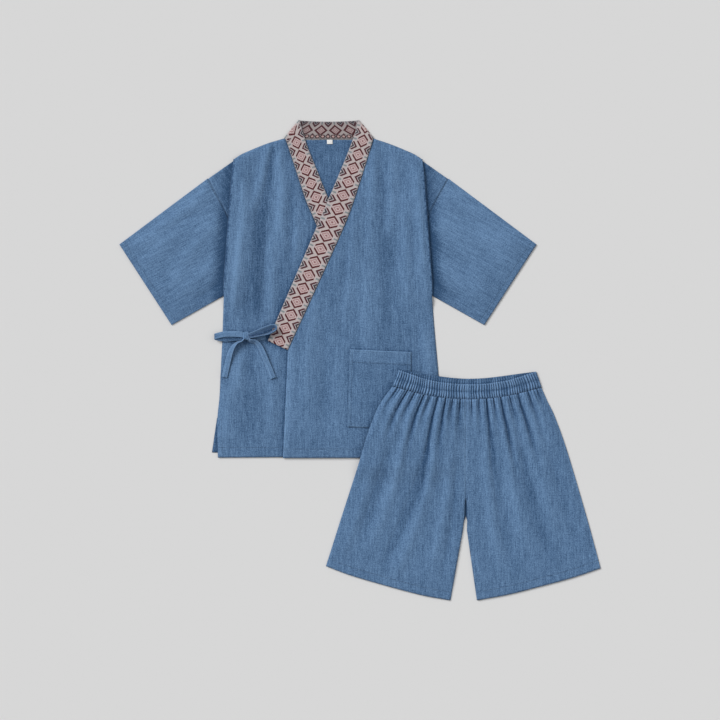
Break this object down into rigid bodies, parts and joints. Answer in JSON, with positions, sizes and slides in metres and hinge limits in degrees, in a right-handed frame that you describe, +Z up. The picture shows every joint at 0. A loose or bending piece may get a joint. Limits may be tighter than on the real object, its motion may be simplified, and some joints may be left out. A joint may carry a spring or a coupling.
{
  "type": "jinbei set",
  "caption": "Blue chambray jinbei laid flat: wrap jacket with patterned neck band, side bow and patch pocket, elastic-waist shorts over its lower corner.",
  "frame": {"origin": "middle of the set's outline, on the surface that it lies on", "axes": "+X towards the wearer's left, +Y towards the neck, +Z up, away from the surface"},
  "size_m": [1.2027, 1.2008, 0.0213],
  "materials": {
    "chambray": "matte slubbed cotton chambray",
    "band_print": "matte woven geometric pattern",
    "tag": "smooth white ribbon"
  },
  "bodies": {
    "root": {"jacket_back": "chambray", "jacket_front_right": "chambray", "jacket_front_left": "chambray", "sleeve_right": "chambray", "sleeve_left": "chambray", "neck_band": "band_print", "pocket": "chambray", "size_tag": "tag", "tie_strand_front": "chambray", "tie_strand_side": "chambray", "bow_knot": "chambray", "bow_loop_left": "chambray", "bow_loop_right": "chambray", "bow_end_left": "chambray", "bow_end_right": "chambray", "shorts_leg_right": "chambray", "shorts_leg_left": "chambray", "shorts_waistband": "chambray"}
  },
  "joints": []
}
